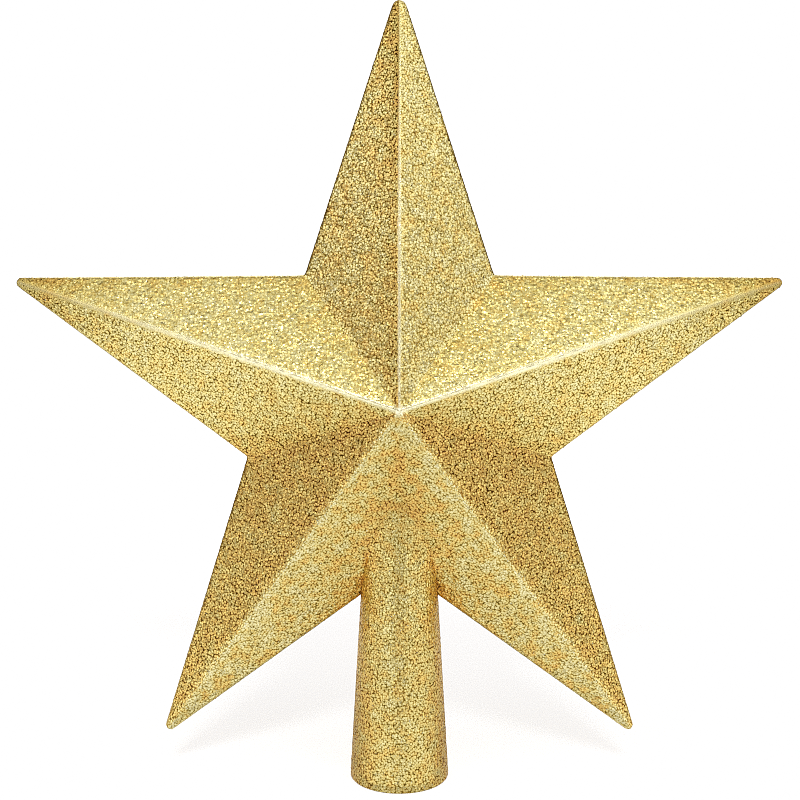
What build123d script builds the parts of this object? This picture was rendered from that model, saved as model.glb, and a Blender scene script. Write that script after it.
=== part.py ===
from build123d import *
import math
import os

# Hollow five-pointed star for the top of a tree, standing on its tapered socket.
# Millimetres. Origin: middle of the socket's mouth, on the plane it stands on.
# +Z up along the socket, +X to the star's side, the front face looks along -Y.
# Two half mouldings meet on the plane Y = 0 and carry one glitter coat outside.

# ---- driving dimensions ------------------------------------------------------
STAR_Z = 97.3          # height of the star's centre above the mouth
R_TIP = 107.1          # centre to the sharp tip, before rounding and stretching
R_VALLEY = 41.7        # centre to the inner corner between two arms
STRETCH = 1.0116       # the star is this much taller than a regular one
RELIEF = 19.4          # centre point's height above the parting plane
RIM_HALF = 0.9         # half the thickness of the star's edge
TIP_ROUND_TOP = 2.1    # plan rounding of the upper tip
TIP_ROUND = 1.5        # plan rounding of the other four tips
VALLEY_ROUND = 0.8     # plan rounding of the inner corners

SOCKET_R = 13.05       # outside radius of the socket at its mouth
SOCKET_TAPER = 0.0593  # radius lost for each millimetre of height
SOCKET_TOP = 80.0      # where the socket's cone ends, inside the star
SOCKET_EDGE = 0.5      # chamfer round the outside of the mouth

COAT = 0.45            # glitter and lacquer
WALL = 1.5             # moulding wall
FLANGE = 3.5           # width of the joining land along the star's edge

LAND_R = 10.6          # parallel land inside the mouth
LAND_TOP = 8.0         # where the land ends and the bore starts to taper
LEAD_IN = 0.6          # chamfer at the mouth of the bore

TONGUE_IN = 2.25       # tongue's middle, in from the moulding's edge
TONGUE_W = 1.0
TONGUE_H = 0.8
CEMENT = 0.1           # clearance round the tongue, filled with cement
TONGUE_STOP = 11.0     # the tongue stops this far each side of the socket's axis
TONGUE_REACH = 84.0    # and this far from the star's centre, short of each tip

PEG_AT = 46.0          # pegs on the ridges, from the star's centre
PEG_R = 1.5
PEG_LONG = 3.0         # length past the parting plane
PEG_PLAY = 0.05
BOSS_R = 3.2
PEG_HOLE = 3.5

# ---- derived figures ---------------------------------------------------------
STEP_ANGLE = math.radians(36.0)
EDGE_LEN = math.sqrt(
    R_TIP**2 + R_VALLEY**2 - 2 * R_TIP * R_VALLEY * math.cos(STEP_ANGLE)
)
# distance from the star's centre to each of its ten straight edges
EDGE_IN = R_TIP * R_VALLEY * math.sin(STEP_ANGLE) / EDGE_LEN
# rise of every facet towards the centre, and the stretch from normal to height
SLOPE = (RELIEF - RIM_HALF) / EDGE_IN
LEAN = math.sqrt(1 + SLOPE**2)

SHELL_IN = EDGE_IN - COAT
SHELL_RELIEF = RELIEF - COAT * LEAN
SHELL_RIM = SHELL_RELIEF - SLOPE * SHELL_IN

HOLLOW_IN = SHELL_IN - FLANGE
HOLLOW_RELIEF = SHELL_RELIEF - WALL * LEAN
HOLLOW_RIM = HOLLOW_RELIEF - SLOPE * HOLLOW_IN


def outline(edge_in):
    """The ten corners of the star whose edges lie edge_in from its centre, tip first."""
    k = edge_in / EDGE_IN
    pts = []
    for i in range(10):
        rho = k * (R_TIP if i % 2 == 0 else R_VALLEY)
        a = i * STEP_ANGLE
        pts.append((rho * math.sin(a), STAR_Z + STRETCH * rho * math.cos(a)))
    return pts


def facet(*pts):
    return Face(Wire.make_polygon(pts, close=True))


def relief_star(edge_in, relief, rim):
    """Two-faced star of twenty flat facets and a narrow straight edge."""
    pts = outline(edge_in)
    faces = []
    for i in range(10):
        (xa, za), (xb, zb) = pts[i], pts[(i + 1) % 10]
        faces.append(facet((0, -relief, STAR_Z), (xb, -rim, zb), (xa, -rim, za)))
        faces.append(facet((0, relief, STAR_Z), (xa, rim, za), (xb, rim, zb)))
        faces.append(facet((xa, -rim, za), (xb, -rim, zb), (xb, rim, zb), (xa, rim, za)))
    solid = Solid(Shell(faces))
    if solid.volume < 0:
        solid = Solid(Shell([-f for f in faces]))
    return solid


def plate(edge_in, y0, y1, grow=None):
    """Flat star from y0 to y1. grow is how far its outline lies inside the finished
    outside, and gives it that outline's rounded tips and inner corners."""
    pts = outline(edge_in)
    face = Face(Wire.make_polygon([(x, 0, z) for x, z in pts], close=True))
    if grow is not None:
        corners = face.vertices()

        def near(i):
            x, z = pts[i]
            return min(corners, key=lambda v: (v.X - x) ** 2 + (v.Z - z) ** 2)

        face = face.fillet_2d(TIP_ROUND_TOP - grow, [near(0)])
        for i in range(1, 10):
            corners = face.vertices()
            r = TIP_ROUND - grow if i % 2 == 0 else VALLEY_ROUND + grow
            face = face.fillet_2d(r, [near(i)])
    solid = Solid.extrude(face, Vector(0, y1 - y0, 0))
    return solid.moved(Location((0, y0, 0)))


def turned(profile):
    """Solid of revolution about the socket's axis from (radius, height) points."""
    face = Face(Wire.make_polygon([(r, 0, z) for r, z in profile], close=True))
    return revolve(face, axis=Axis.Z, revolution_arc=360).solid()


def socket_outside(inset):
    r0 = SOCKET_R - inset
    return turned(
        [
            (0, 0),
            (r0 - SOCKET_EDGE, 0),
            (r0 - SOCKET_TAPER * SOCKET_EDGE, SOCKET_EDGE),
            (r0 - SOCKET_TAPER * SOCKET_TOP, SOCKET_TOP),
            (0, SOCKET_TOP),
        ]
    )


def along_y(x, z, r, y0, y1):
    c = Solid.make_cylinder(r, y1 - y0, Plane((x, y0, z), x_dir=(1, 0, 0), z_dir=(0, 1, 0)))
    return c


# ---- outside of the coat and of the mouldings --------------------------------
outside = (
    relief_star(EDGE_IN, RELIEF, RIM_HALF) & plate(EDGE_IN, -30, 30, grow=0.0)
) + socket_outside(0.0)
mould = (
    relief_star(SHELL_IN, SHELL_RELIEF, SHELL_RIM) & plate(SHELL_IN, -30, 30, grow=COAT)
) + socket_outside(COAT)

# ---- glitter coat ------------------------------------------------------------
glitter_coat = outside - mould

# ---- hollow of the star, opening into the socket's bore -----------------------
bore = turned(
    [
        (0, -1),
        (LAND_R + LEAD_IN, -1),
        (LAND_R + LEAD_IN, 0),
        (LAND_R, LEAD_IN),
        (LAND_R, LAND_TOP),
        (LAND_R - SOCKET_TAPER * (SOCKET_TOP - LAND_TOP), SOCKET_TOP),
        (0, SOCKET_TOP),
    ]
)
hollow = relief_star(HOLLOW_IN, HOLLOW_RELIEF, HOLLOW_RIM) + bore

peg_places = [
    (PEG_AT * math.sin(i * 2 * STEP_ANGLE), STAR_Z + STRETCH * PEG_AT * math.cos(i * 2 * STEP_ANGLE))
    for i in range(5)
]
for x, z in peg_places:
    hollow = hollow - along_y(x, z, BOSS_R, -30, 30)

# ---- the two half mouldings ---------------------------------------------------
walls = mould - hollow
front_side = Solid.make_box(260, 60, 260, Plane((-130, -60, -20)))
rear_side = Solid.make_box(260, 60, 260, Plane((-130, 0, -20)))
front_shell = walls & front_side
rear_shell = walls & rear_side

# tongue along the star's edge, in runs round the inner corners: it stops short of
# each tip and is left open where the socket comes out
tongue_mid = SHELL_IN - TONGUE_IN


def edge_run(half_width, depth, spare):
    socket_gap = TONGUE_STOP - spare
    return (
        (
            plate(tongue_mid + half_width, 0, depth)
            - plate(tongue_mid - half_width, -1, depth + 1)
        )
        & along_y(0, STAR_Z, TONGUE_REACH + spare, -2, depth + 2)
    ) - Solid.make_box(2 * socket_gap, 40, 40, Plane((-socket_gap, -20, STAR_Z - 60)))


tongue = edge_run(TONGUE_W / 2, TONGUE_H, 0.0)
groove = edge_run(TONGUE_W / 2 + CEMENT, TONGUE_H + CEMENT, CEMENT)
front_shell = front_shell + tongue
rear_shell = rear_shell - groove
seam_cement = groove - tongue

for x, z in peg_places:
    peg = along_y(x, z, PEG_R, -1.0, PEG_LONG)
    peg = peg.chamfer(0.4, None, [e for e in peg.edges() if e.center().Y > PEG_LONG - 0.1 and e.geom_type == GeomType.CIRCLE])
    front_shell = front_shell + peg
    rear_shell = rear_shell - along_y(x, z, PEG_R + PEG_PLAY, -1.0, PEG_HOLE)

# ---- write --------------------------------------------------------------------
os.makedirs("parts", exist_ok=True)
for name, shape in (
    ("front_shell", front_shell),
    ("rear_shell", rear_shell),
    ("seam_cement", seam_cement),
    ("glitter_coat", glitter_coat),
):
    solids = shape.solids()
    print(name, len(solids), [round(s.volume, 1) for s in solids])
    body = solids[0] if len(solids) == 1 else Compound(children=solids)
    export_step(body, f"parts/{name}.step")
print("edge_in", round(EDGE_IN, 3), "slope", round(SLOPE, 4), "shell rim", round(SHELL_RIM, 3), "hollow rim", round(HOLLOW_RIM, 3))
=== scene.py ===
import math

import bpy
import numpy as np
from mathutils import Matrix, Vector
from mathutils.geometry import delaunay_2d_cdt


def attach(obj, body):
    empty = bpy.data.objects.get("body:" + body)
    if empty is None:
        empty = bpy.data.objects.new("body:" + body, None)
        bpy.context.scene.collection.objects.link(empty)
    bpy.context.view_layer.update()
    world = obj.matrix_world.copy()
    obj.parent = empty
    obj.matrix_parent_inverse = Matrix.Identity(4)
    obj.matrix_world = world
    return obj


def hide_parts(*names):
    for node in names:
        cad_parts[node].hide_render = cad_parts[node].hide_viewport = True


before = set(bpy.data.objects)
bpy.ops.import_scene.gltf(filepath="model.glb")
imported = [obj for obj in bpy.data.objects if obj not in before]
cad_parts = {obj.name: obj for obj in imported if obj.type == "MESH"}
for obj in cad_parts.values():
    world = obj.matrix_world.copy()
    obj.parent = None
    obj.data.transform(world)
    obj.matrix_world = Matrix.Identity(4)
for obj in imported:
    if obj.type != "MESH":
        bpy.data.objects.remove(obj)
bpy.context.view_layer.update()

rng = np.random.default_rng(20)

# ---- the star's own figures, in millimetres, in the CAD frame ------------------
STAR_Z = 97.3
R_TIP = 107.1
R_VALLEY = 41.7
STRETCH = 1.0116
RELIEF = 19.4
RIM_HALF = 0.9
TIP_ROUNDS = (2.1, 1.5, 1.5, 1.5, 1.5)
SOCKET_R = 13.05
SOCKET_TAPER = 0.0593
SOCKET_TOP = 80.0
COAT = 0.45

STEP_ANGLE = math.radians(36.0)
EDGE_LEN = math.sqrt(R_TIP**2 + R_VALLEY**2 - 2 * R_TIP * R_VALLEY * math.cos(STEP_ANGLE))
EDGE_IN = R_TIP * R_VALLEY * math.sin(STEP_ANGLE) / EDGE_LEN
SLOPE = (RELIEF - RIM_HALF) / EDGE_IN
LEAN = math.sqrt(1 + SLOPE**2)
SIN_L, COS_L = SLOPE / LEAN, 1 / LEAN
# every facet's edge looks this far round from its arm's ridge, in plan
ALPHA = math.acos(EDGE_IN / R_TIP)
CA, SA = math.cos(ALPHA), math.sin(ALPHA)
C36, S36 = math.cos(STEP_ANGLE), math.sin(STEP_ANGLE)

# ---- the crust: lacquer and glitter as one rough skin --------------------------
INSET = 0.12           # mean depth of the crust's face below the CAD coat's outside
ROUGH = 0.06           # grains stand this far out of that face, or in from it
GRAIN = 0.66           # spacing of the grains
CREST = (0.3, 0.72, 1.3)  # lines beside each ridge that round it over
RIDGE_SOFT = (0.45, 0.6, 0.12, 0.12, 0.6)  # how softly the ridge of each arm is rounded
VALLEY_SOFT = 0.6      # and how softly a valley line is filled
ARC_ROWS = 3
FILLET = 5.0           # build-up where the socket leaves the star
CELLS = 1900.0         # flakes set in the lacquer, per metre
CELL_EVEN = 0.95       # how unevenly they lie, up to 1
CELL_TILT = 0.28       # how far they lean
CELL_TONE = 0.26       # how much they differ
CREST_WIDTH = (0.42, 0.72, 0.4, 0.4, 0.72)  # width of the smooth, bare line along the ridge of each arm, where a highlight is painted
CREST_BARE = (0.7, 0.95, 0.0, 0.0, 0.95)    # how bare it is
CREST_HIGHLIGHT = (0.6, 0.78, 0.0, 0.0, 0.78)   # and how pale: a painted highlight
CLEAN = 0.02           # share of the loose flakes that are clean and glossy
CREST_FADE = 0.85      # it fades towards the tip by this
APEX_R = 1.3           # and is widest in the middle of the star
PATCHES = 330.0        # patches of warmer and paler glitter
PATCH_HUE = 2.2
VARY = (1.0, 1.0, 0.9, 0.8, 1.7, 0.9, 1.0)  # how much they differ on each kind of facet, and on the socket
# painted light and shade: each kind of facet, and the parts near its ridge, valleys and tip, get their own hue
# and lift, warmer and darker where shade falls, paler where light falls. Hue 0 is cream, 0.5 lemon, 1 amber and
# 1.5 copper, and lift is how pale the mixture is. Facets: upper arm right and left, side arm lower and upper,
# lower arm inner and outer
FACET_KIND = (0, 1, 2, 3, 4, 5, 5, 4, 3, 2)
HUE_PAINTED_LIGHT = (0.50, 0.66, 0.46, 0.45, 0.46, 0.92)
HUE_RIDGE_PAINTED_LIGHT = (-0.10, 0.22, -0.10, -0.20, -0.20, 0.20)
HUE_VALLEY_PAINTED_LIGHT = (-0.10, 0.0, 0.50, 0.25, 0.52, 0.20)
VALLEY_REACH = (5.0, 5.0, 7.0, 4.0, 12.0, 5.0)
HUE_TIP_PAINTED_LIGHT = (0.0, 0.0, 0.30, 0.45, 0.20, 0.0)
GAP_TONE_AND_SHADE = (0.39, 0.45, 0.45, 0.22, 0.44, 0.53, 0.48)  # lacquer between the flakes is darker by this, and by how much on each kind of facet is painted shade
LIFT_RIDGE_PAINTED_LIGHT = (0.0, -0.15, 0.0, 0.0, 0.08, -0.08)
LIFT_VALLEY_PAINTED_SHADE = (0.0, 0.0, -0.13, -0.10, -0.06, -0.04)
LIFT_TIP_PAINTED_SHADE = (0.0, 0.0, -0.17, -0.24, -0.03, 0.0)


def edge_figures(inset):
    """Edge distance, relief, rim height and full-round radius of the star drawn in by inset."""
    edge = EDGE_IN - inset
    relief = RELIEF - inset * LEAN
    rim = relief - SLOPE * edge
    return edge, relief, rim, rim / (LEAN - SLOPE)


def facet_pattern(step, inset, crest, arc_rows, jitter):
    """One facet in plan, u along its ridge and v away from it, from the star's middle out
    to the mid-plane of its edge. Gives points, triangles and where each point lies."""
    edge, relief, rim, rho = edge_figures(inset)
    e_t = rho * (1 - SIN_L)
    d_t = edge - e_t

    u_t = d_t / CA
    n_r = max(2, round(u_t * 1.015 / step))
    ridge = [(u_t * k / n_r, 0.0) for k in range(n_r + 1)]
    s_t = d_t / math.cos(ALPHA - STEP_ANGLE)
    n_v = max(2, round(s_t * 1.09 / step))
    valley = [(s_t * k / n_v * C36, s_t * k / n_v * S36) for k in range(1, n_v + 1)]
    a, b = np.array(ridge[-1]), np.array(valley[-1])
    n_e = max(2, round(float(np.linalg.norm(b - a)) / step))
    outer = [tuple(a + (b - a) * k / n_e) for k in range(1, n_e)]
    points = ridge + valley + outer

    inner = []
    for i, c in enumerate(crest):
        for k in range(int(u_t / step) + 1):
            u = (k + (0.5 if i == 0 else 0.0)) * step
            inner.append((u, c, 0.35))
    reach = (crest[-1] if crest else 0.0) + 0.5 * step
    j = 1
    while j * step * 0.866 < d_t * LEAN:
        d = j * step * 0.866 / LEAN
        t = (j % 2) * 0.5 * step
        while t < 104.0:
            dj = d + rng.uniform(-jitter, jitter) * step / LEAN
            tj = t + rng.uniform(-jitter, jitter) * step
            inner.append((dj * CA + tj * SA, dj * SA - tj * CA, None))
            t += step
        j += 1
    for u, v, near in inner:
        w = u * S36 - v * C36
        d = u * CA + v * SA
        room = 0.5 * step if near is None else near * step
        if w > room and d < d_t - room and (near is not None or v > reach):
            points.append((u, v))

    plan = np.array(points)
    d = plan @ np.array([CA, SA])
    t = plan @ np.array([SA, -CA])
    rim_ids = (
        list(range(n_r + 1))
        + [n_r + 1 + n_v + k for k in range(n_e - 1)]
        + [n_r + 1 + k for k in range(n_v - 1, -1, -1)]
    )
    loop = [(rim_ids[k], rim_ids[(k + 1) % len(rim_ids)]) for k in range(len(rim_ids))]
    made = delaunay_2d_cdt(
        [Vector((float(x), float(y * LEAN))) for x, y in zip(t, d)], loop, [], 1, 1e-7, True
    )
    back = [o[0] for o in made[3]]
    tris = [[back[k] for k in f] for f in made[2]]

    # rows over the rounded edge, down to the mid-plane
    turn0 = math.asin(SIN_L)
    turn = [turn0] * len(points)
    row = [n_r] + [n_r + 1 + n_v + k for k in range(n_e - 1)] + [n_r + n_v]
    for r in range(1, arc_rows + 1):
        th = turn0 + (math.pi / 2 - turn0) * r / arc_rows
        dr = edge - rho * (1 - math.sin(th))
        a = np.array((dr / CA, 0.0))
        s = dr / math.cos(ALPHA - STEP_ANGLE)
        b = np.array((s * C36, s * S36))
        new = []
        for k in range(n_e + 1):
            f = k / n_e
            if 0 < k < n_e:
                f += rng.uniform(-jitter, jitter) / n_e
            new.append(len(points))
            points.append(tuple(a + (b - a) * f))
            turn.append(th)
        for k in range(n_e):
            if rng.random() < 0.5:
                tris += [[row[k], new[k], row[k + 1]], [row[k + 1], new[k], new[k + 1]]]
            else:
                tris += [[row[k], new[k], new[k + 1]], [row[k], new[k + 1], row[k + 1]]]
        row = new
    plan = np.array(points)
    tris = np.array(tris)
    # one winding for all triangles
    p, q, r = plan[tris[:, 0]], plan[tris[:, 1]], plan[tris[:, 2]]
    area = (q - p)[:, 0] * (r - p)[:, 1] - (q - p)[:, 1] * (r - p)[:, 0]
    tris[area < 0] = tris[area < 0][:, ::-1]
    n = len(plan)
    on_mid = np.zeros(n, bool)
    on_mid[row] = True
    on_ridge = np.abs(plan[:, 1]) < 1e-9
    on_valley = np.abs(plan[:, 0] * S36 - plan[:, 1] * C36) < 1e-7
    return plan, tris, np.array(turn), on_ridge, on_valley, on_mid


def soften(x, by):
    return np.sqrt(x * x + by * by) - x


def star_surface(step, inset, crest, arc_rows, jitter, ridge_soft, valley_soft):
    """The whole two-faced star as one closed mesh: points, triangles, outward normals and
    how much grain each point may carry."""
    plan, tris, turn, on_ridge, on_valley, on_mid = facet_pattern(step, inset, crest, arc_rows, jitter)
    edge, relief, rim, rho = edge_figures(inset)
    n = len(plan)
    kinds = np.zeros(n, int)                       # 0 inside a facet
    kinds[on_mid] = 3
    kinds[on_valley] = 2
    kinds[on_ridge] = 1
    kinds[on_ridge & on_valley] = 4                # the star's middle
    kinds[on_ridge & on_mid] = 5                   # a tip
    kinds[on_valley & on_mid] = 6                  # an inner corner
    place = np.zeros(n, int)
    for k in range(7):
        place[kinds == k] = np.arange((kinds == k).sum())
    count = [(kinds == k).sum() for k in range(7)]
    start = np.cumsum([0, 20 * count[0], 10 * count[1], 10 * count[2], 10 * count[3], 2, 5])
    total = start[6] + 5

    pos = np.zeros((total, 3))
    nrm = np.zeros((total, 3))
    grain = np.ones(total)
    arm = np.zeros(total, int)
    faces = []
    d_all = plan @ np.array([CA, SA])
    e_all = np.maximum(edge - d_all, 0.0)
    profile = np.where(
        e_all < rho * (1 - SIN_L), np.sqrt(np.maximum(rho**2 - (rho - e_all) ** 2, 0)), rim + SLOPE * e_all
    ) / (rim + SLOPE * e_all)
    profile[on_mid] = 0.0
    for tip in range(5):
        # round the tip: points beyond the fillet's middle are drawn in towards it
        r_t = TIP_ROUNDS[tip] - inset
        mid = edge / CA - r_t / CA
        q = plan - np.array([mid, 0.0])
        th = np.abs(np.arctan2(q[:, 1], q[:, 0]))
        k = np.where(th < ALPHA, np.cos(ALPHA - np.minimum(th, ALPHA)), 1.0)
        k[on_valley] = 1.0
        p = np.array([mid, 0.0]) + q * k[:, None]
        u, v = p[:, 0], np.abs(p[:, 1])
        w = np.maximum(u * S36 - v * C36, 0.0)
        along = np.hypot(u, v)
        level = rim + SLOPE * np.maximum(edge - (u * CA + v * SA), 0.0)
        level = level - SLOPE * SA * soften(v, ridge_soft[tip])
        level = level + SLOPE * math.sin(ALPHA - STEP_ANGLE) * soften(w, valley_soft) * (1 - np.exp(-along / 4))
        h = level * profile
        # a small fillet in the inner corner
        out = 0.7135 * soften(w, 0.3) * np.exp(-e_all / 1.2)
        u = u + out * C36
        v = v + out * S36
        v[on_ridge] = 0.0
        for hand in (1, -1):
            facet = 2 * tip + (0 if hand == 1 else 9)
            facet %= 10
            a = 2 * tip * STEP_ANGLE
            x = u * math.sin(a) + hand * v * math.cos(a)
            z = STAR_Z + u * math.cos(a) - hand * v * math.sin(a)
            way = a + hand * ALPHA
            gap = tip if hand == 1 else (tip + 4) % 5
            for side in (0, 1):
                s = -1.0 if side == 0 else 1.0
                gid = np.zeros(n, int)
                gid[kinds == 0] = start[0] + (side * 10 + facet) * count[0] + place[kinds == 0]
                gid[kinds == 1] = start[1] + (side * 5 + tip) * count[1] + place[kinds == 1]
                gid[kinds == 2] = start[2] + (side * 5 + gap) * count[2] + place[kinds == 2]
                gid[kinds == 3] = start[3] + facet * count[3] + place[kinds == 3]
                gid[kinds == 4] = start[4] + side
                gid[kinds == 5] = start[5] + tip
                gid[kinds == 6] = start[6] + gap
                pos[gid] = np.stack([x, s * h, z], 1)
                add = np.stack(
                    [np.sin(turn) * math.sin(way), s * np.cos(turn), np.sin(turn) * math.cos(way)], 1
                )
                np.add.at(nrm, gid, add)
                # ridges are smooth, edges a little less rough than the facets
                near = 1 - 0.93 * CREST_BARE[tip] * np.exp(-((v / 0.8) ** 2))
                near = np.minimum(near, np.where(e_all < 0.8, 0.6, 1.0))
                grain[gid] = near * k
                arm[gid] = tip + 5 * side
                f = gid[tris]
                faces.append(f if (hand == 1) == (side == 0) else f[:, ::-1])
    pos[:, 2] = STAR_Z + STRETCH * (pos[:, 2] - STAR_Z)
    nrm[:, 2] /= STRETCH
    nrm /= np.linalg.norm(nrm, axis=1)[:, None]
    return pos, np.concatenate(faces), nrm, grain, arm


def socket_surface(step, inset, top, foot):
    """The tapered socket as a closed cone: points, triangles, normals and grain."""
    n = round(2 * math.pi * 12.0 / step)
    rows = []
    r0 = SOCKET_R - inset
    if foot:
        for k in range(4):
            a = k / 3 * math.pi / 2
            z = foot * (1 - math.cos(a))
            rows.append((r0 - SOCKET_TAPER * z - foot * (1 - math.sin(a)), z, a))
    else:
        rows.append((r0 - 0.5, -3.0, math.pi / 2))
        rows.append((r0 - 0.5, 0.0, math.pi / 2))
        rows.append((r0 - SOCKET_TAPER * 0.5, 0.5, math.pi / 2))
    z0 = rows[-1][1]
    m = round((top - z0) / (step * 0.866))
    for k in range(1, m + 1):
        z = z0 + (top - z0) * k / m
        rows.append((r0 - SOCKET_TAPER * z, z, math.pi / 2))
    pos, nrm, grain, faces = [], [], [], []
    for i, (r, z, tilt) in enumerate(rows):
        th = (np.arange(n) + 0.5 * (i % 2)) * 2 * math.pi / n
        pos.append(np.stack([r * np.cos(th), r * np.sin(th), np.full(n, z)], 1))
        nrm.append(np.stack([np.cos(th), np.sin(th), np.zeros(n)], 1) * 1.0)
        grain.append(np.full(n, 0.0 if i == 0 else min(1.0, 0.3 * i)))
    for i in range(len(rows) - 1):
        a, b = i * n + np.arange(n), (i + 1) * n + np.arange(n)
        a1, b1 = np.roll(a, -1), np.roll(b, -1)
        if i % 2 == 0:
            faces += [np.stack([a, a1, b], 1), np.stack([a1, b1, b], 1)]
        else:
            faces += [np.stack([a, b1, b], 1), np.stack([a, a1, b1], 1)]
    k = len(rows) * n
    pos.append(np.array([[0, 0, rows[0][1]], [0, 0, rows[-1][1]]]))
    nrm.append(np.array([[0, 0, -1.0], [0, 0, 1.0]]))
    grain.append(np.zeros(2))
    a = np.arange(n)
    faces.append(np.stack([np.full(n, k), np.roll(a, -1), a], 1))
    b = (len(rows) - 1) * n + a
    faces.append(np.stack([np.full(n, k + 1), b, np.roll(b, -1)], 1))
    return np.concatenate(pos), np.concatenate(faces), np.concatenate(nrm), np.concatenate(grain)


def mesh_of(name, pos, faces):
    """Mesh object from points in millimetres and faces of one size."""
    me = bpy.data.meshes.new(name)
    size = faces.shape[1]
    me.vertices.add(len(pos))
    me.vertices.foreach_set("co", (pos * 0.001).astype(np.float32).ravel())
    me.loops.add(faces.size)
    me.loops.foreach_set("vertex_index", faces.astype(np.int32).ravel())
    me.polygons.add(len(faces))
    me.polygons.foreach_set("loop_start", np.arange(0, faces.size, size, dtype=np.int32))
    me.update(calc_edges=True)
    o = bpy.data.objects.new(name, me)
    bpy.context.scene.collection.objects.link(o)
    return o


def cone_radius(z, inset=0.0):
    return SOCKET_R - inset - SOCKET_TAPER * z


def folded(x, z):
    """Plan position as u along the nearest ridge and v away from it."""
    dz = (z - STAR_Z) / STRETCH
    rho = np.hypot(x, dz)
    th = np.arctan2(x, dz)
    phi = np.abs((th + STEP_ANGLE) % (2 * STEP_ANGLE) - STEP_ANGLE)
    return rho * np.cos(phi), rho * np.sin(phi)


def star_gap(p, inset):
    """Distance out of the star's faces, roughly, for points near it."""
    level, e = facet_height(p[:, 0], p[:, 2], inset)
    over = (np.abs(p[:, 1]) - level) * COS_L
    rim = edge_figures(inset)[2]
    return np.where(e > 0, over, np.hypot(e, np.maximum(np.abs(p[:, 1]) - rim, 0)))


def cone_gap(p, inset):
    """Distance out of the socket's cone."""
    off = np.hypot(p[:, 0], p[:, 1]) - cone_radius(p[:, 2], inset)
    return np.where(p[:, 2] < SOCKET_TOP, off, np.hypot(np.maximum(off, 0), p[:, 2] - SOCKET_TOP))


def fillet(gap):
    """How far a face is built up at this distance from the other one."""
    return FILLET / 4 * np.clip(1 - gap / FILLET, 0, 1) ** 2


def facet_height(x, z, inset):
    u, v = folded(x, z)
    edge, relief, rim, rho = edge_figures(inset)
    return relief - SLOPE * (u * CA + v * SA), edge - (u * CA + v * SA)


star_pos, star_tris, star_nrm, star_grain, star_arm = star_surface(
    GRAIN, INSET, CREST, ARC_ROWS, 0.24, RIDGE_SOFT, VALLEY_SOFT
)
front = np.clip((np.abs(star_pos[:, 1]) - 2.0) / 4.0, 0, 1)
star_pos = star_pos + star_nrm * (front * fillet(np.maximum(cone_gap(star_pos, INSET), 0)))[:, None]
star_pos = star_pos + star_nrm * (rng.uniform(-ROUGH, ROUGH, len(star_pos)) * star_grain)[:, None]
cone_pos, cone_tris, cone_nrm, cone_grain = socket_surface(GRAIN, INSET, SOCKET_TOP, 0.7)
front = np.clip((np.abs(cone_pos[:, 1]) - 2.0) / 4.0, 0, 1) * (cone_nrm[:, 2] == 0)
cone_pos = cone_pos + cone_nrm * (front * fillet(np.maximum(star_gap(cone_pos, INSET), 0)))[:, None]
cone_side = np.cross(cone_nrm, np.array([0, 0, 1.0]))
cone_pos = (
    cone_pos
    + cone_nrm * (rng.uniform(-ROUGH, ROUGH, len(cone_pos)) * cone_grain)[:, None]
    + cone_side * (rng.uniform(-0.15, 0.15, len(cone_pos)) * cone_grain)[:, None]
    + np.array([0, 0, 1.0]) * (rng.uniform(-0.13, 0.13, len(cone_pos)) * (cone_grain >= 1))[:, None]
)

inner_star = star_surface(4.0, COAT - 0.02, (), 3, 0.0, (1e-6,) * 5, 1e-6)
inner_cone = socket_surface(3.0, COAT, SOCKET_TOP - 1.0, 0.0)
crust_star = mesh_of("glitter_crust", star_pos, star_tris)
crust_cone = mesh_of("tmp_cone", cone_pos, cone_tris)
hole_star = mesh_of("tmp_hole_star", inner_star[0], inner_star[1])
hole_cone = mesh_of("tmp_hole_cone", inner_cone[0], inner_cone[1])
for op, other in (("UNION", crust_cone), ("DIFFERENCE", hole_star), ("DIFFERENCE", hole_cone)):
    m = crust_star.modifiers.new(op, "BOOLEAN")
    m.operation, m.solver, m.object = op, "MANIFOLD", other
dg = bpy.context.evaluated_depsgraph_get()
crust_mesh = bpy.data.meshes.new_from_object(crust_star.evaluated_get(dg))
crust_mesh.name = "glitter_crust"
for o in (crust_star, crust_cone, hole_star, hole_cone):
    old = o.data
    bpy.data.objects.remove(o)
    bpy.data.meshes.remove(old)
crust = bpy.data.objects.new("glitter_crust", crust_mesh)
bpy.context.scene.collection.objects.link(crust)


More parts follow.
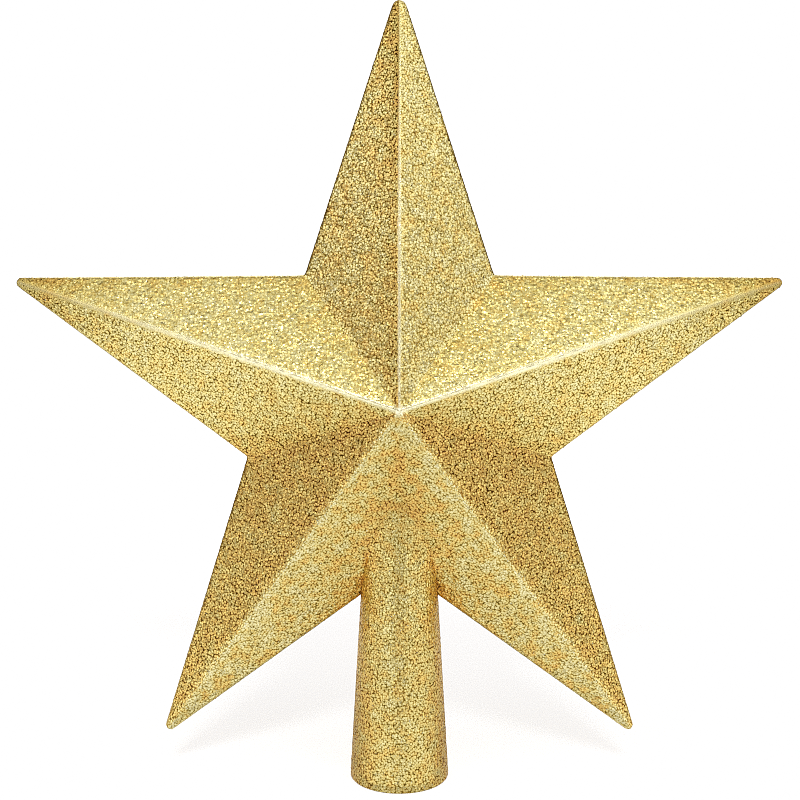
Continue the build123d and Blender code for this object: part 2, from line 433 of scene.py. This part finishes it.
# ---- colour of the coat -----------------------------------------------------------
def coat_map(p, on_cone):
    """Hue and lift of the coat at each point, painted as light and shade."""
    u, v = folded(p[:, 0], p[:, 2])
    w = u * S36 - v * C36
    kind = np.array(FACET_KIND)[facet_of(p)]

    def of(table):
        return np.array(table)[kind]

    # painted light and shade near ridges, valleys and the tips, from the tables
    ridge = np.exp(-v / 3.0)
    valley = np.exp(-w / of(VALLEY_REACH)) * (1 - np.exp(-v / 3.0))
    tip = np.clip((u - 62.0) / 42.0, 0, 1) ** 2
    hue = of(HUE_PAINTED_LIGHT) + of(HUE_RIDGE_PAINTED_LIGHT) * ridge + of(HUE_VALLEY_PAINTED_LIGHT) * valley + of(HUE_TIP_PAINTED_LIGHT) * tip
    painted_shading = of(LIFT_RIDGE_PAINTED_LIGHT) * ridge + of(LIFT_VALLEY_PAINTED_SHADE) * valley + of(LIFT_TIP_PAINTED_SHADE) * tip
    # painted highlight: the lower ridges are paler on both sides
    line = np.exp(-((v / 1.1) ** 2)) * (kind >= 4)
    hue = hue - np.where(kind == 5, 0.30, 0.10) * line
    painted_shading = painted_shading + np.where(kind == 5, 0.24, 0.01) * line
    # painted shade: the upper arm's left side is darker along its ridge, most of all towards the tip, and the
    # lower arms' outer sides are darker and warmer towards the middle
    painted_shading = painted_shading - 0.14 * (kind == 1) * ridge * np.clip((u - 45.0) / 40.0, 0, 1)
    inner = np.exp(-((u / 42.0) ** 2)) * (kind == 5) * (1 - line)
    hue = hue + 0.14 * inner
    painted_shading = painted_shading - 0.03 * inner
    # painted shade and highlight: along their upper edges the side arms are warmer and darker, with a pale last
    # row
    off = np.maximum(edge_figures(INSET)[0] - (u * CA + v * SA), 0.0)
    border = np.exp(-off / 2.5) * (kind == 3)
    hue = hue + 0.20 * border
    painted_shading = painted_shading - 0.09 * border + 0.42 * np.exp(-((off / 0.4) ** 2)) * (kind == 3)
    # painted shade: the socket is warmer towards its sides, where it turns away from the front
    side = np.abs(p[:, 0]) / np.hypot(p[:, 0], p[:, 1])
    hue = np.where(on_cone, 0.52 + 0.85 * side**2.5, hue)
    painted_shading = np.where(on_cone, 0.0, painted_shading)
    # and painted shade in the crease where it leaves the star: warmer and darker there
    gap = np.maximum(np.where(on_cone, star_gap(p, INSET), cone_gap(p, INSET)), 0)
    gap = np.where((p[:, 2] < STAR_Z) & (np.abs(p[:, 0]) < 18), gap, 50.0)
    hue = hue + 0.35 * np.exp(-gap / 3.0)
    painted_shading = painted_shading - 0.10 * np.exp(-gap / 1.2)
    return hue, painted_shading


def facet_of(p):
    """Number of the facet, clockwise in pairs from the upper arm's right one."""
    th = np.mod(np.arctan2(p[:, 0], (p[:, 2] - STAR_Z) / STRETCH), 2 * math.pi)
    tip = np.floor(th / (2 * STEP_ANGLE) + 0.5).astype(int)
    return (tip % 5) * 2 + np.where(th - tip * 2 * STEP_ANGLE >= 0, 0, 1)


def paint(o, tones, hues):
    """Stores tone and hue per face, and lays the faces of each mixture on one cell of the map."""
    me = o.data
    n = len(me.polygons)
    level = [np.clip(np.round(x * 31), 0, 31).astype(int) for x in (tones, hues / 1.5)]
    face_value(o, "grain", level[0] / 31)
    face_value(o, "hue", level[1] / 31 * 1.5)
    uv = me.uv_layers.new(name="OFBake")
    starts = np.zeros(n, np.int32)
    totals = np.zeros(n, np.int32)
    me.polygons.foreach_get("loop_start", starts)
    me.polygons.foreach_get("loop_total", totals)
    face = np.repeat(np.arange(n), totals)
    order = np.arange(len(face)) - np.repeat(starts, totals)
    a = 2 * math.pi * order / np.repeat(totals, totals)
    cx, cy = ((x + 0.5) / 32 for x in level)
    co = np.stack([cx[face] + np.cos(a) * 0.3 / 32, cy[face] + np.sin(a) * 0.3 / 32], 1)
    uv.data.foreach_set("uv", co.astype(np.float32).ravel())


def face_centres(me):
    c = np.zeros(len(me.polygons) * 3, np.float32)
    me.polygons.foreach_get("center", c)
    return c.reshape(-1, 3).astype(float) * 1000


def lay_out(o, sector, side, on_cone, hidden):
    """Lays the crust out flat: the twenty facets in pairs, the socket in two halves beside
    them, and the faces that lie against the mouldings on one spot."""
    me = o.data
    n = len(me.polygons)
    loops = np.zeros(len(me.loops), np.int32)
    me.loops.foreach_get("vertex_index", loops)
    totals = np.zeros(n, np.int32)
    me.polygons.foreach_get("loop_total", totals)
    co = np.zeros(len(me.vertices) * 3, np.float32)
    me.vertices.foreach_get("co", co)
    p = co.reshape(-1, 3).astype(float)[loops] * 1000
    face = np.repeat(np.arange(n), totals)
    k = sector[face]
    tip, hand = k // 2, np.where(k % 2 == 0, 1.0, -1.0)
    a = tip * 2 * STEP_ANGLE
    dz = (p[:, 2] - STAR_Z) / STRETCH
    u = p[:, 0] * np.sin(a) + dz * np.cos(a)
    v = hand * (p[:, 0] * np.cos(a) - dz * np.sin(a))
    d, t = u * CA + v * SA, u * SA - v * CA
    edge, relief, rim, rho = edge_figures(INSET)
    over = np.clip(1 - (edge - d) / rho, SIN_L, 1.0)
    deep = np.minimum(d, edge - rho * (1 - SIN_L)) * LEAN + rho * (np.arcsin(over) - math.asin(SIN_L))
    height = (edge - rho * (1 - SIN_L)) * LEAN + rho * (math.pi / 2 - math.asin(SIN_L)) + 0.4
    # a facet and its neighbour turned half round make one leaning strip
    first = k % 2 == 0
    x = np.where(first, t, 106.0 - t)
    y = np.where(first, deep, height - deep)
    strip = tip + 5 * side[face]
    x = x + (strip % 2) * 82.5 + 0.5
    y = y + (strip // 2) * (height + 0.6) + 0.5
    th = np.arctan2(p[:, 1], p[:, 0])
    c = np.zeros(n * 3, np.float32)
    me.polygons.foreach_get("center", c)
    c = c.reshape(-1, 3)
    front = (c[:, 1] < 0)[face]
    turn = np.where(front, np.mod(th + math.pi, 2 * math.pi), np.mod(th, 2 * math.pi))
    turn = np.where(turn > 1.5 * math.pi, turn - 2 * math.pi, turn)
    cone = on_cone[face]
    x = np.where(cone, 191.0 + turn * 12.0, x)
    y = np.where(cone, p[:, 2] + np.where(front, 2.0, 84.0), y)
    order = np.arange(len(face)) - np.repeat(np.cumsum(totals) - totals, totals)
    ang = 2 * math.pi * order / np.repeat(totals, totals)
    x = np.where(hidden[face], 215.0 + np.cos(ang), x)
    y = np.where(hidden[face], 200.0 + np.sin(ang), y)
    uv = me.uv_layers.new(name="OFBake")
    uv.data.foreach_set("uv", (np.stack([x, y], 1) / 231.0).astype(np.float32).ravel())
    flat = me.attributes.new("flat", "FLOAT_VECTOR", "CORNER")
    flat.data.foreach_set("vector", (np.stack([x, y, 0 * x], 1) * 0.001).astype(np.float32).ravel())


def face_value(o, name, values, domain="FACE"):
    att = o.data.attributes.new(name, "FLOAT", domain)
    att.data.foreach_set("value", values.astype(np.float32))


mid = face_centres(crust.data)
u, v = folded(mid[:, 0], mid[:, 2])
cone_off, star_off = cone_gap(mid, INSET), star_gap(mid, INSET)
on_cone = (cone_off < star_off) & (mid[:, 2] < SOCKET_TOP)
face_n = np.zeros(len(mid) * 3, np.float32)
crust.data.polygons.foreach_get("normal", face_n)
face_n = face_n.reshape(-1, 3).astype(float)
flat_r = np.stack([mid[:, 0], mid[:, 1], np.zeros(len(mid))], 1)
inward = face_n[:, 1] * np.sign(mid[:, 1]) < -0.3
hidden = np.where(on_cone, (face_n * flat_r).sum(1) < 0, inward & (star_off < -0.1))
sector = facet_of(mid)
lay_out(crust, sector, (mid[:, 1] > 0).astype(int), on_cone, hidden)
# the rounded ridges are smooth, everything else is flat flakes
smooth = ~on_cone & ~hidden & (v < 0.75) & np.isin(sector // 2, (0, 1, 4))
crust.data.polygons.foreach_set("use_smooth", smooth)
# the coat's painted light and shade, stored on each face
hue, painted_shading = coat_map(mid, on_cone)
face_value(crust, "hue", hue)
face_value(crust, "painted_shading", painted_shading)
# how near each point is to its ridge, in widths of the bare line along it
co = np.zeros(len(crust.data.vertices) * 3, np.float32)
crust.data.vertices.foreach_get("co", co)
co = co.reshape(-1, 3).astype(float) * 1000
cu, cv = folded(co[:, 0], co[:, 2])
arm_of = facet_of(co) // 2
off_star = (cone_gap(co, INSET) < star_gap(co, INSET)) & (co[:, 2] < SOCKET_TOP)
wide = np.array(CREST_WIDTH)[arm_of] * (1 - 0.45 * np.clip((cu - 40) / 55, 0, 1))
wide = wide * (0.72 + 0.28 * np.clip(cu / 40, 0, 1))
ridge = np.minimum(cv / wide, np.hypot(cu, cv) / APEX_R)
face_value(crust, "ridge", np.where(off_star, 9.0, np.clip(ridge, 0, 9)), "POINT")
# painted highlight: the upper ridges and the middle of the star are paler, where the flakes also lie bare
fade = 1 - CREST_FADE * np.clip((cu - 40) / 50, 0, 1)
painted_highlight = np.maximum(np.array(CREST_HIGHLIGHT)[arm_of] * fade, np.exp(-((np.hypot(cu, cv) / APEX_R) ** 4)))
bare_and_highlight = np.maximum(np.array(CREST_BARE)[arm_of] * fade, np.exp(-((np.hypot(cu, cv) / APEX_R) ** 4)))
face_value(crust, "painted_highlight", painted_highlight, "POINT")
face_value(crust, "bare_and_highlight", bare_and_highlight, "POINT")
kind = np.where(on_cone, 6, np.array(FACET_KIND)[sector])
face_value(crust, "gap", np.array(GAP_TONE_AND_SHADE)[kind])
face_value(crust, "vary", np.array(VARY)[kind])


# ---- loose flakes lying on the crust ---------------------------------------------
def flake_mesh(name, spots, normals, tones, on_cone):
    """Six-sided flakes, each a closed shallow pin with its point in the crust."""
    k = len(spots)
    tilt = np.radians(np.clip(np.abs(rng.normal(0, 11, k)), 0, 32))
    way = rng.uniform(0, 2 * math.pi, k)
    ref = np.where(np.abs(normals[:, 1:2]) < 0.9, np.array([[0, 1.0, 0]]), np.array([[1.0, 0, 0]]))
    a = np.cross(normals, ref)
    a /= np.linalg.norm(a, axis=1)[:, None]
    b = np.cross(normals, a)
    lean = a * np.cos(way)[:, None] + b * np.sin(way)[:, None]
    up = normals * np.cos(tilt)[:, None] + lean * np.sin(tilt)[:, None]
    a = np.cross(up, ref)
    a /= np.linalg.norm(a, axis=1)[:, None]
    b = np.cross(up, a)
    r = rng.uniform(0.22, 0.31, k)
    turn = rng.uniform(0, 2 * math.pi, k)
    pts = np.zeros((k, 7, 3))
    for i in range(6):
        th = turn + i * math.pi / 3
        pts[:, i] = spots + (a * np.cos(th)[:, None] + b * np.sin(th)[:, None]) * r[:, None]
    pts[:, 6] = spots - up * 0.10
    base = np.arange(k)[:, None] * 7
    top = np.array([[0, 1, 2], [0, 2, 3], [0, 3, 4], [0, 4, 5]])
    under = np.array([[(i + 1) % 6, i, 6] for i in range(6)])
    faces = (base[:, :, None] + np.concatenate([top, under])[None]).reshape(-1, 3)
    o = mesh_of(name, pts.reshape(-1, 3), faces)
    # the flakes carry the coat's painted light and shade too
    hue, painted_shading = coat_map(spots, np.full(k, on_cone))
    hue = hue + rng.uniform(-0.3, 0.3, k)
    # a few are clean and catch the light
    clean = rng.random(k) < CLEAN
    tones = np.where(clean, 1.0, np.minimum(tones + painted_shading, 0.96))
    paint(o, np.repeat(tones, 10), np.repeat(hue, 10))
    return o


def spread(tris, free):
    """Picks points so that no two of them are neighbours."""
    pairs = np.concatenate([tris[:, [0, 1]], tris[:, [1, 2]], tris[:, [2, 0]]])
    free = free.copy()
    pick = np.zeros(len(free), bool)
    for _ in range(4):
        rank = np.where(free, rng.random(len(free)), -1.0)
        best = rank.copy()
        np.maximum.at(best, pairs[:, 0], rank[pairs[:, 1]])
        np.maximum.at(best, pairs[:, 1], rank[pairs[:, 0]])
        new = free & (rank >= best)
        pick |= new
        taken = new.copy()
        np.logical_or.at(taken, pairs[:, 0], new[pairs[:, 1]])
        np.logical_or.at(taken, pairs[:, 1], new[pairs[:, 0]])
        free &= ~taken
    return pick


flakes = []
u, v = folded(star_pos[:, 0], star_pos[:, 2])
lower = np.isin(star_arm % 5, (2, 3))
free = (v > np.where(lower, 0.05, 0.75)) & (cone_gap(star_pos, INSET) > 1.2) & (star_grain > 0.55)
pick = spread(star_tris, free)
flake_tone = rng.uniform(0.3, 1.0, len(star_pos))
for k in range(10):
    ids = np.where(pick & (star_arm == k))[0]
    name = f"flakes_{'front' if k < 5 else 'rear'}_arm_{k % 5 + 1}"
    flakes.append(
        flake_mesh(name, star_pos[ids] - star_nrm[ids] * 0.02, star_nrm[ids], flake_tone[ids], False)
    )
free = star_gap(cone_pos, INSET) > 1.2
free &= (cone_pos[:, 2] > 0.75) & (cone_pos[:, 2] < SOCKET_TOP - 1)
ids = np.where(spread(cone_tris, free))[0]
flakes.append(
    flake_mesh(
        "flakes_socket",
        cone_pos[ids] - cone_nrm[ids] * 0.02,
        cone_nrm[ids],
        rng.uniform(0.3, 1.0, len(ids)),
        True,
    )
)


# ---- materials ---------------------------------------------------------------------
def new_material(name):
    m = bpy.data.materials.new(name)
    m.use_nodes = True
    nt = m.node_tree
    return m, nt, nt.nodes["Principled BSDF"]


def ramp(nt, stops):
    n = nt.nodes.new("ShaderNodeValToRGB")
    el = n.color_ramp.elements
    while len(el) < len(stops):
        el.new(0.5)
    for e, (at, col) in zip(el, stops):
        e.position = at
        e.color = (*col, 1)
    return n


# colours of the flakes from dark to pale, in four mixtures
AMBER = [
    (0.00, (0.09, 0.038, 0.007)),
    (0.12, (0.25, 0.127, 0.021)),
    (0.30, (0.51, 0.312, 0.064)),
    (0.55, (0.73, 0.505, 0.138)),
    (0.78, (0.88, 0.68, 0.23)),
    (0.92, (0.97, 0.85, 0.39)),
    (1.00, (1.0, 0.94, 0.62)),
]
LEMON = [
    (0.00, (0.08, 0.045, 0.004)),
    (0.12, (0.23, 0.145, 0.018)),
    (0.30, (0.49, 0.357, 0.080)),
    (0.55, (0.71, 0.578, 0.200)),
    (0.78, (0.86, 0.752, 0.335)),
    (0.92, (0.97, 0.90, 0.52)),
    (1.00, (1.0, 0.97, 0.76)),
]
COPPER = [
    (0.00, (0.09, 0.034, 0.009)),
    (0.12, (0.26, 0.114, 0.026)),
    (0.30, (0.52, 0.288, 0.062)),
    (0.55, (0.76, 0.470, 0.120)),
    (0.78, (0.90, 0.65, 0.21)),
    (0.92, (0.97, 0.82, 0.40)),
    (1.00, (1.0, 0.92, 0.62)),
]
CREAM = [
    (0.00, (0.09, 0.062, 0.012)),
    (0.12, (0.24, 0.172, 0.034)),
    (0.30, (0.50, 0.400, 0.125)),
    (0.55, (0.72, 0.625, 0.275)),
    (0.78, (0.88, 0.81, 0.45)),
    (0.92, (0.98, 0.94, 0.68)),
    (1.00, (1.0, 0.98, 0.86)),
]


def math_node(nt, op, *values):
    n = nt.nodes.new("ShaderNodeMath")
    n.operation = op
    for k, x in enumerate(values):
        if isinstance(x, (int, float)):
            n.inputs[k].default_value = x
        else:
            nt.links.new(x, n.inputs[k])
    return n.outputs[0]


def vector_node(nt, op, *values):
    n = nt.nodes.new("ShaderNodeVectorMath")
    n.operation = op
    at = 0
    for x in values:
        if isinstance(x, tuple):
            n.inputs[at].default_value = x
        elif op == "SCALE" and at == 1:
            nt.links.new(x, n.inputs["Scale"])
        else:
            nt.links.new(x, n.inputs[at])
        at += 1
    return n.outputs[0]


def face_input(nt, name):
    n = nt.nodes.new("ShaderNodeAttribute")
    n.attribute_name = name
    return n.outputs["Fac"]


def mix_colour(nt, amount, a, b):
    n = nt.nodes.new("ShaderNodeMix")
    n.data_type = "RGBA"
    nt.links.new(amount, n.inputs["Factor"])
    nt.links.new(a, n.inputs[6])
    nt.links.new(b, n.inputs[7])
    return n.outputs[2]


def gold(nt, tone, hue):
    """Flake colour for a tone and a hue."""
    cols = [ramp(nt, r) for r in (CREAM, LEMON, AMBER, COPPER)]
    for c in cols:
        nt.links.new(tone, c.inputs["Fac"])
    col = cols[0].outputs["Color"]
    for k in range(3):
        amount = math_node(nt, "MULTIPLY_ADD", hue, 2.0, -float(k))
        col = mix_colour(nt, amount, col, cols[k + 1].outputs["Color"])
    return col


# glitter set in lacquer: each cell is one flake with its own colour and its own tilt
glitter, nt, bsdf = new_material("gold_glitter")
at = nt.nodes.new("ShaderNodeTexCoord").outputs["Object"]
flat = nt.nodes.new("ShaderNodeAttribute")
flat.attribute_name = "flat"
cells = nt.nodes.new("ShaderNodeTexVoronoi")
cells.voronoi_dimensions = "2D"
cells.inputs["Scale"].default_value = CELLS
cells.inputs["Randomness"].default_value = CELL_EVEN
nt.links.new(flat.outputs["Vector"], cells.inputs["Vector"])
own = nt.nodes.new("ShaderNodeTexWhiteNoise")
nt.links.new(cells.outputs["Color"], own.inputs["Vector"])
# flakes lie bare along the ridges, with a ragged edge, and there the colour is mixed towards a pale painted
# highlight
near = math_node(nt, "MULTIPLY_ADD", own.outputs["Value"], 0.9, face_input(nt, "ridge"))
crest = nt.nodes.new("ShaderNodeMapRange")
crest.interpolation_type = "SMOOTHSTEP"
crest.inputs["From Min"].default_value = 0.9
crest.inputs["From Max"].default_value = 1.9
crest.inputs["To Min"].default_value = 1.0
crest.inputs["To Max"].default_value = 0.0
nt.links.new(near, crest.inputs["Value"])
loose = math_node(nt, "SUBTRACT", 1.0, math_node(nt, "MULTIPLY", crest.outputs["Result"], face_input(nt, "bare_and_highlight")))
# lacquer shows darker where three flakes meet, by an amount per kind of facet that is partly painted shade
gap = nt.nodes.new("ShaderNodeMapRange")
gap.inputs["From Min"].default_value = 0.38
gap.inputs["From Max"].default_value = 0.66
nt.links.new(cells.outputs["Distance"], gap.inputs["Value"])
tone = math_node(nt, "MULTIPLY_ADD", own.outputs["Value"], CELL_TONE, 0.66 - CELL_TONE / 2)
dark = math_node(nt, "MULTIPLY", gap.outputs["Result"], face_input(nt, "gap"))
tone = math_node(nt, "SUBTRACT", tone, math_node(nt, "MULTIPLY", dark, loose))
# adds the coat's painted light and shade
tone = math_node(nt, "ADD", tone, face_input(nt, "painted_shading"))
patch = nt.nodes.new("ShaderNodeTexNoise")
patch.inputs["Scale"].default_value = PATCHES
patch.inputs["Detail"].default_value = 2.0
nt.links.new(at, patch.inputs["Vector"])
hue = math_node(nt, "MULTIPLY_ADD", patch.outputs["Fac"], PATCH_HUE, -0.5 * PATCH_HUE)
hue = math_node(nt, "MULTIPLY_ADD", hue, face_input(nt, "vary"), face_input(nt, "hue"))
# painted highlight: mixes the flake colour towards pale cream along the upper ridges and in the middle of the
# star
bare_and_highlight = nt.nodes.new("ShaderNodeMix")
bare_and_highlight.data_type = "RGBA"
nt.links.new(math_node(nt, "MULTIPLY", crest.outputs["Result"], face_input(nt, "painted_highlight")), bare_and_highlight.inputs["Factor"])
nt.links.new(gold(nt, tone, hue), bare_and_highlight.inputs[6])
bare_and_highlight.inputs[7].default_value = (1.0, 0.96, 0.66, 1)
nt.links.new(bare_and_highlight.outputs[2], bsdf.inputs["Base Color"])
shine = nt.nodes.new("ShaderNodeMapRange")
shine.inputs["From Min"].default_value = 0.1
shine.inputs["From Max"].default_value = 0.6
shine.inputs["To Min"].default_value = 0.7
shine.inputs["To Max"].default_value = 0.28
nt.links.new(tone, shine.inputs["Value"])
nt.links.new(shine.outputs["Result"], bsdf.inputs["Roughness"])
geo = nt.nodes.new("ShaderNodeNewGeometry")
tilt = vector_node(nt, "SUBTRACT", cells.outputs["Color"], (0.5, 0.5, 0.5))
tilt = vector_node(nt, "SCALE", tilt, math_node(nt, "MULTIPLY", loose, CELL_TILT))
tilt = vector_node(nt, "NORMALIZE", vector_node(nt, "ADD", geo.outputs["Normal"], tilt))
nt.links.new(tilt, bsdf.inputs["Normal"])
bsdf.inputs["Metallic"].default_value = 1.0

# loose flakes: one colour each
flake_mat, nt, bsdf = new_material("gold_flake")
nt.links.new(gold(nt, face_input(nt, "grain"), face_input(nt, "hue")), bsdf.inputs["Base Color"])
clean = nt.nodes.new("ShaderNodeMapRange")
clean.inputs["From Min"].default_value = 0.975
clean.inputs["From Max"].default_value = 0.99
clean.inputs["To Min"].default_value = 0.31
clean.inputs["To Max"].default_value = 0.12
nt.links.new(face_input(nt, "grain"), clean.inputs["Value"])
nt.links.new(clean.outputs["Result"], bsdf.inputs["Roughness"])
bsdf.inputs["Metallic"].default_value = 1.0

plastic, nt, bsdf = new_material("gold_plastic")
tex = nt.nodes.new("ShaderNodeTexCoord")
noise = nt.nodes.new("ShaderNodeTexNoise")
noise.inputs["Scale"].default_value = 160.0
noise.inputs["Detail"].default_value = 6.0
nt.links.new(tex.outputs["Object"], noise.inputs["Vector"])
col = ramp(nt, [(0.3, (0.42, 0.25, 0.045)), (0.55, (0.55, 0.35, 0.075)), (0.75, (0.66, 0.45, 0.12))])
nt.links.new(noise.outputs["Fac"], col.inputs["Fac"])
nt.links.new(col.outputs["Color"], bsdf.inputs["Base Color"])
bump = nt.nodes.new("ShaderNodeBump")
bump.inputs["Strength"].default_value = 0.12
bump.inputs["Distance"].default_value = 0.0004
nt.links.new(noise.outputs["Fac"], bump.inputs["Height"])
nt.links.new(bump.outputs["Normal"], bsdf.inputs["Normal"])
bsdf.inputs["Metallic"].default_value = 0.35
bsdf.inputs["Roughness"].default_value = 0.36

cement, nt, bsdf = new_material("clear_cement")
tex = nt.nodes.new("ShaderNodeTexCoord")
noise = nt.nodes.new("ShaderNodeTexNoise")
noise.inputs["Scale"].default_value = 300.0
nt.links.new(tex.outputs["Object"], noise.inputs["Vector"])
col = ramp(nt, [(0.35, (0.72, 0.66, 0.5)), (0.7, (0.86, 0.82, 0.7))])
nt.links.new(noise.outputs["Fac"], col.inputs["Fac"])
nt.links.new(col.outputs["Color"], bsdf.inputs["Base Color"])
bsdf.inputs["Roughness"].default_value = 0.25

crust.data.materials.clear()
for o in [crust] + flakes:
    o.data.materials.append(glitter if o is crust else flake_mat)
    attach(o, "root")
    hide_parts("glitter_coat")
for name, mat in (("front_shell", plastic), ("rear_shell", plastic), ("seam_cement", cement)):
    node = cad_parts[name]
    node.data.materials.clear()
    node.data.materials.append(mat)


# ---- floor, light and camera ----------------------------------------------------------
SHARPEN = 0.06
GLINT = {"Threshold": 2.2, "Strength": 1.0, "Streaks": 4, "Streaks Angle": 0.2, "Iterations": 2, "Fade": 0.85, "Saturation": 0.5}
FLOOR_SEEN = 0.59      # glow of the floor beside the star, as seen
FLOOR_FILL = 0.15      # and as it lights the star
scene = bpy.context.scene
floor_me = bpy.data.meshes.new("floor")
ring = [(3.0 * math.cos(k * math.pi / 32), 3.0 * math.sin(k * math.pi / 32), 0.0) for k in range(64)]
floor_me.from_pydata(ring, [], [list(range(64))])
floor = bpy.data.objects.new("floor", floor_me)
scene.collection.objects.link(floor)
mat, nt, bsdf = new_material("floor_pale")
bsdf.inputs["Base Color"].default_value = (0.6, 0.6, 0.6, 1)
bsdf.inputs["Roughness"].default_value = 0.75
bsdf.inputs["Specular IOR Level"].default_value = 0.2
bsdf.inputs["Emission Color"].default_value = (1, 1, 1, 1)
tex = nt.nodes.new("ShaderNodeTexCoord")
far = nt.nodes.new("ShaderNodeVectorMath")
far.operation = "LENGTH"
nt.links.new(tex.outputs["Object"], far.inputs[0])
glow = nt.nodes.new("ShaderNodeMapRange")
glow.interpolation_type = "SMOOTHSTEP"
glow.inputs["From Min"].default_value = 0.18
glow.inputs["From Max"].default_value = 0.75
glow.inputs["To Min"].default_value = FLOOR_SEEN
glow.inputs["To Max"].default_value = 1.0
nt.links.new(far.outputs["Value"], glow.inputs["Value"])
seen = nt.nodes.new("ShaderNodeLightPath")
lit = nt.nodes.new("ShaderNodeMix")
lit.inputs[2].default_value = FLOOR_FILL
nt.links.new(seen.outputs["Is Camera Ray"], lit.inputs[0])
nt.links.new(glow.outputs["Result"], lit.inputs[3])
nt.links.new(lit.outputs[0], bsdf.inputs["Emission Strength"])
floor_me.materials.append(mat)

world = bpy.data.worlds.new("studio")
scene.world = world
world.use_nodes = True
nt = world.node_tree
nt.nodes.clear()
out = nt.nodes.new("ShaderNodeOutputWorld")
mix = nt.nodes.new("ShaderNodeMixShader")
path = nt.nodes.new("ShaderNodeLightPath")
dim = nt.nodes.new("ShaderNodeBackground")
dim.inputs["Color"].default_value = (0.12, 0.085, 0.05, 1)
dim.inputs["Strength"].default_value = 1.0
white = nt.nodes.new("ShaderNodeBackground")
white.inputs["Color"].default_value = (1, 1, 1, 1)
white.inputs["Strength"].default_value = 1.0
nt.links.new(path.outputs["Is Camera Ray"], mix.inputs["Fac"])
nt.links.new(dim.outputs["Background"], mix.inputs[1])
nt.links.new(white.outputs["Background"], mix.inputs[2])
nt.links.new(mix.outputs["Shader"], out.inputs["Surface"])


def softbox(name, at, aim, wide, high, bright, colour=(1, 1, 1)):
    d = bpy.data.lights.new(name, "AREA")
    d.shape = "RECTANGLE"
    d.size, d.size_y = wide, high
    d.energy = bright * math.pi * wide * high
    d.color = colour
    o = bpy.data.objects.new(name, d)
    o.location = at
    o.rotation_euler = (Vector(aim) - Vector(at)).to_track_quat("-Z", "Y").to_euler()
    o.visible_camera = False
    scene.collection.objects.link(o)
    return o


CENTRE = (0, 0, 0.10)
softbox("top_box", (0.0, -0.55, 1.0), CENTRE, 1.7, 1.0, 0.754, (0.915, 0.973, 1.0))
softbox("high_front", (0.0, -0.85, 0.52), CENTRE, 0.34, 0.30, 0.487)
softbox("key_box", (0.0, -0.78, 0.72), CENTRE, 0.18, 0.18, 11)
softbox("right_box", (0.72, -0.42, 0.66), CENTRE, 0.9, 0.7, 1.19, (0.865, 0.901, 1.0))
softbox("left_box", (-0.72, -0.42, 0.66), CENTRE, 0.65, 0.55, 1.5, (0.827, 0.848, 1.0))
softbox("right_front", (0.46, -0.82, 0.2), CENTRE, 0.44, 0.40, 1.53)
softbox("left_front", (-0.46, -0.82, 0.2), CENTRE, 0.44, 0.40, 1.53)
softbox("right_low", (0.9, -0.25, 0.14), CENTRE, 0.3, 0.3, 1.37)
softbox("left_low", (-0.9, -0.25, 0.14), CENTRE, 0.3, 0.3, 1.37)
softbox("right_floor", (0.18, -0.09, 0.002), (0.18, -0.09, 1), 0.16, 0.18, 0.631)
softbox("left_floor", (-0.18, -0.09, 0.002), (-0.18, -0.09, 1), 0.16, 0.18, 0.631)
softbox("front_floor", (0.0, -0.055, 0.002), (0, -0.055, 1), 0.16, 0.09, 0.325)
softbox("right_floor_back", (0.15, 0.07, 0.002), (0.15, 0.07, 1), 0.20, 0.14, 0.257)
softbox("left_floor_back", (-0.15, 0.07, 0.002), (-0.15, 0.07, 1), 0.20, 0.14, 0.257)
softbox("back_box", (0.0, 0.9, 0.6), CENTRE, 1.0, 0.6, 2)
back_top = softbox("back_top", (0.0, 0.45, 0.95), CENTRE, 1.0, 0.7, 0.75)

# a second key lights the floor only, so that the star's faint shadow lies on it
floor_key = softbox("floor_key", (0.0, -0.78, 0.72), CENTRE, 0.20, 0.20, 22)
only_floor = bpy.data.collections.new("only_floor")
only_floor.objects.link(floor)
floor_key.light_linking.receiver_collection = only_floor
# and the light from above and behind lights everything but the floor
not_floor = bpy.data.collections.new("not_floor")
not_floor.objects.link(floor)
not_floor.collection_objects[0].light_linking.link_state = "EXCLUDE"
back_top.light_linking.receiver_collection = not_floor

cam_data = bpy.data.cameras.new("camera")
cam_data.lens = 47.1
cam_data.sensor_width = 36.0
cam = bpy.data.objects.new("camera", cam_data)
cam.location = (0.00016, -0.2715, 0.1133)
cam.rotation_euler = (math.radians(90 - 3.0), 0, 0)
cam_data.clip_start, cam_data.clip_end = 0.01, 50
scene.collection.objects.link(cam)
scene.camera = cam

scene.view_settings.view_transform = "Standard"
scene.view_settings.look = "None"
scene.cycles.use_denoising = False
scene.cycles.filter_width = 1.1

# the brightest flakes get short rays, and the picture is sharpened a little, as a camera does it
scene.use_nodes = True
nt = scene.node_tree
nt.nodes.clear()
last = nt.nodes.new("CompositorNodeRLayers").outputs["Image"]
glint = nt.nodes.new("CompositorNodeGlare")
glint.glare_type = "STREAKS"
for name, value in GLINT.items():
    glint.inputs[name].default_value = value
nt.links.new(last, glint.inputs["Image"])
last = glint.outputs["Image"]
full = nt.nodes.new("CompositorNodeMixRGB")
full.use_clamp = True
full.inputs[0].default_value = 0.0
nt.links.new(last, full.inputs[1])
last = full.outputs[0]
for kind, amount in (("Gamma", 1 / 2.2), ("Filter", SHARPEN), ("Gamma", 2.2)):
    n = nt.nodes.new("CompositorNode" + kind)
    if kind == "Filter":
        n.filter_type = "SHARPEN"
        n.inputs["Fac"].default_value = amount
    else:
        n.inputs["Gamma"].default_value = amount
    nt.links.new(last, n.inputs["Image"])
    last = n.outputs["Image"]
nt.links.new(last, nt.nodes.new("CompositorNodeComposite").inputs["Image"])
